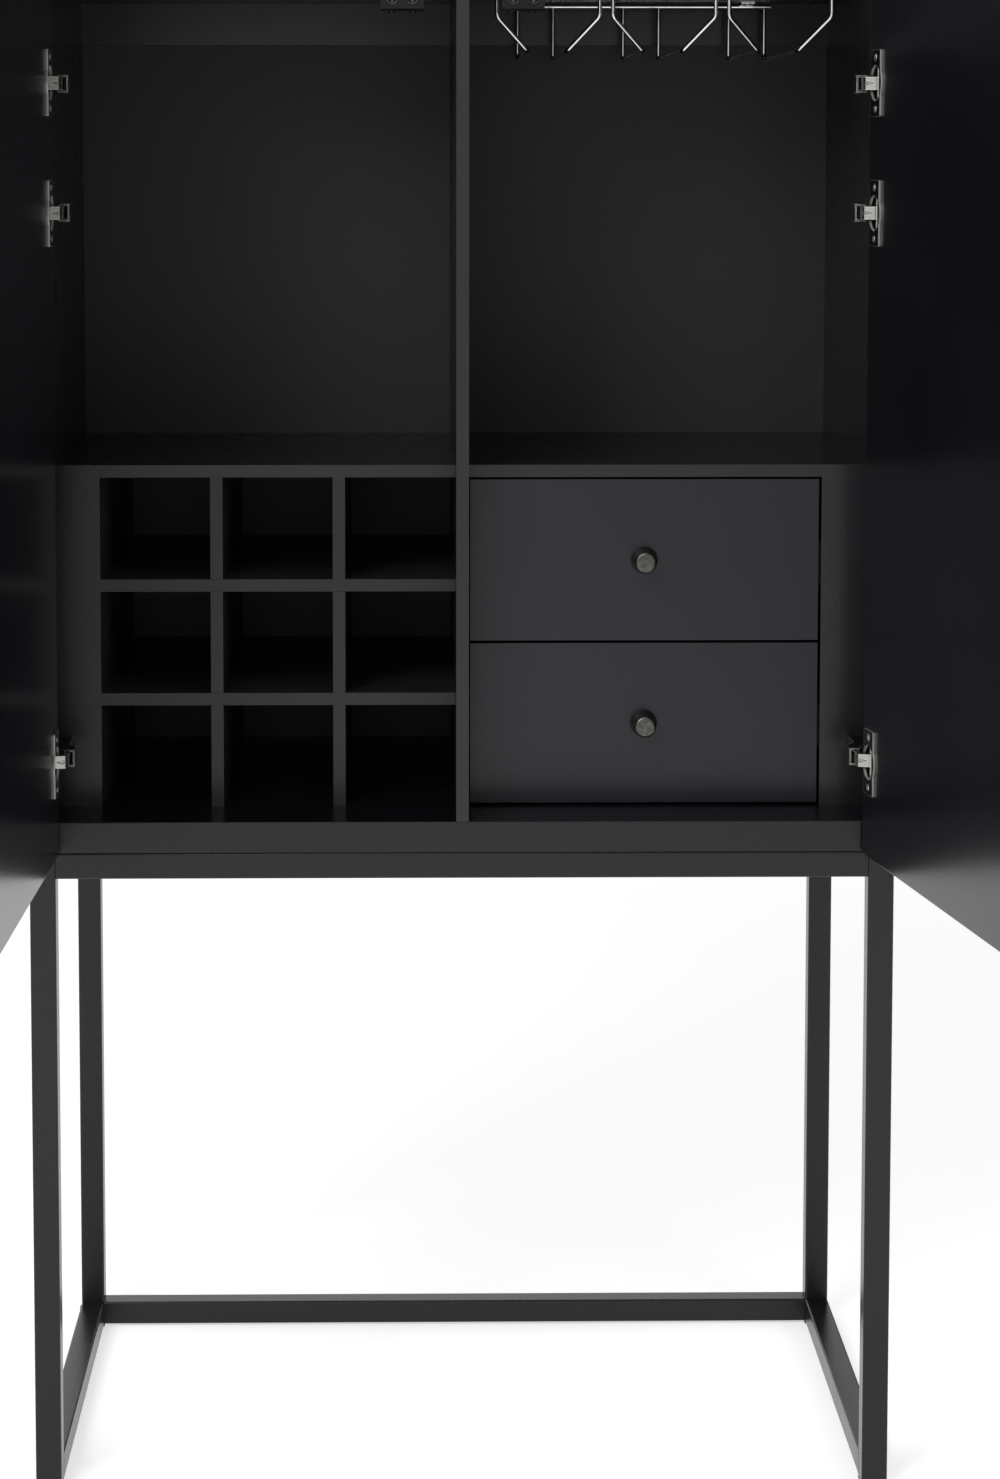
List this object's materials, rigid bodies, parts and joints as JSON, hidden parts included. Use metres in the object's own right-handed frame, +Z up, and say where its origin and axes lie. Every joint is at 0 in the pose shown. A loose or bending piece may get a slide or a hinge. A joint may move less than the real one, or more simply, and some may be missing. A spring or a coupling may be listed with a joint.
{
  "type": "bar cabinet",
  "caption": "Black bar cabinet with hinged doors, a bottle rack, drawers and a hanging stemware rack, on an open frame of square steel tube.",
  "frame": {"origin": "on the floor, below the middle of the carcass", "axes": "+Z up; the front with the doors faces -Y; +X to the right as seen from the front"},
  "size_m": [0.8815, 0.8995, 1.49],
  "materials": {
    "black_lacquer": "satin black lacquer",
    "drawer_board": "matt black",
    "black_steel": "satin powder coat",
    "black_bolts": "black oxide",
    "nickel": "nickel plated",
    "zinc_steel": "zinc plated",
    "plunger_steel": "turned",
    "dark_metal": "gunmetal",
    "black_plastic": "moulded",
    "chrome_wire": "bright chrome"
  },
  "bodies": {
    "cabinet": {"back_panel": "black_lacquer", "back_rails": "black_lacquer", "bottom_board": "black_lacquer", "carcass_screws": "zinc_steel", "drawer_channels": "black_steel", "drawer_outer_wall": "black_lacquer", "filler_strips": "black_lacquer", "frame_bolts": "black_bolts", "front_legs": "black_steel", "front_top_rail": "black_steel", "hinge_arm_pins": "nickel", "hinge_arms": "nickel", "hinge_plates": "nickel", "hinge_screws": "nickel", "latch_housings": "black_plastic", "latch_screws": "zinc_steel", "left_shelf": "black_lacquer", "left_side_panel": "black_lacquer", "leg_glides": "black_plastic", "partition": "black_lacquer", "rack_outer_wall": "black_lacquer", "rack_shelves": "black_lacquer", "rack_uprights": "black_lacquer", "rail_plugs": "black_plastic", "rear_floor_rail": "black_steel", "rear_legs": "black_steel", "rear_top_rail": "black_steel", "right_shelf": "black_lacquer", "right_side_panel": "black_lacquer", "side_floor_rails": "black_steel", "side_top_rails": "black_steel", "stemware_rack": "chrome_wire", "stemware_tabs": "chrome_wire", "top_board": "black_lacquer"},
    "left_door": {"left_door_cup_pins": "nickel", "left_door_cups": "nickel", "left_door_panel": "black_lacquer", "left_door_screws": "zinc_steel", "left_door_strike": "zinc_steel"},
    "left_links": {"left_hinge_links": "nickel"},
    "left_inner_plunger": {"left_inner_plunger": "plunger_steel"},
    "left_outer_plunger": {"left_outer_plunger": "plunger_steel"},
    "lower_drawer": {"lower_drawer_bottom": "drawer_board", "lower_drawer_front": "black_lacquer", "lower_drawer_knob": "dark_metal", "lower_drawer_slides": "black_steel", "lower_drawer_walls": "drawer_board"},
    "right_door": {"right_door_cup_pins": "nickel", "right_door_cups": "nickel", "right_door_panel": "black_lacquer", "right_door_screws": "zinc_steel", "right_door_strike": "zinc_steel"},
    "right_links": {"right_hinge_links": "nickel"},
    "right_inner_plunger": {"right_inner_plunger": "plunger_steel"},
    "right_outer_plunger": {"right_outer_plunger": "plunger_steel"},
    "upper_drawer": {"upper_drawer_bottom": "drawer_board", "upper_drawer_front": "black_lacquer", "upper_drawer_knob": "dark_metal", "upper_drawer_slides": "black_steel", "upper_drawer_walls": "drawer_board"}
  },
  "joints": [
    {"name": "left_door_swing", "type": "hinge", "parent": "cabinet", "child": "left_links", "pos_m": [-0.376, -0.2355, 0], "axis": [0, 0, 1], "range_deg": [-36.4, 5.6]},
    {"name": "left_cup_swing", "type": "hinge", "parent": "left_links", "child": "left_door", "pos_m": [-0.39, -0.25949, 0], "axis": [0, 0, -1], "range_deg": [-127.45, 19.65]},
    {"name": "right_door_swing", "type": "hinge", "parent": "cabinet", "child": "right_links", "pos_m": [0.376, -0.2355, 0], "axis": [0, 0, -1], "range_deg": [-39.4, 2.6]},
    {"name": "right_cup_swing", "type": "hinge", "parent": "right_links", "child": "right_door", "pos_m": [0.38872, -0.26019, 0], "axis": [0, 0, 1], "range_deg": [-137.95, 9.15]},
    {"name": "upper_drawer_slide", "type": "slide", "parent": "cabinet", "child": "upper_drawer", "axis": [0, -1, 0], "range_m": [0, 0.3]},
    {"name": "lower_drawer_slide", "type": "slide", "parent": "cabinet", "child": "lower_drawer", "axis": [0, -1, 0], "range_m": [0, 0.3]},
    {"name": "left_outer_plunger_push", "type": "slide", "parent": "cabinet", "child": "left_outer_plunger", "axis": [0, -1, 0], "range_m": [-0.003, 0], "stiffness_N_per_m": 1500, "springref_m": 0.002},
    {"name": "left_inner_plunger_push", "type": "slide", "parent": "cabinet", "child": "left_inner_plunger", "axis": [0, -1, 0], "range_m": [-0.003, 0], "stiffness_N_per_m": 1500, "springref_m": 0.002},
    {"name": "right_outer_plunger_push", "type": "slide", "parent": "cabinet", "child": "right_outer_plunger", "axis": [0, -1, 0], "range_m": [-0.003, 0], "stiffness_N_per_m": 1500, "springref_m": 0.002},
    {"name": "right_inner_plunger_push", "type": "slide", "parent": "cabinet", "child": "right_inner_plunger", "axis": [0, -1, 0], "range_m": [-0.003, 0], "stiffness_N_per_m": 1500, "springref_m": 0.002}
  ],
  "couplings": [
    {"joint": "left_cup_swing", "follows": "left_door_swing", "ratio": 3.5},
    {"joint": "right_cup_swing", "follows": "right_door_swing", "ratio": 3.5}
  ]
}
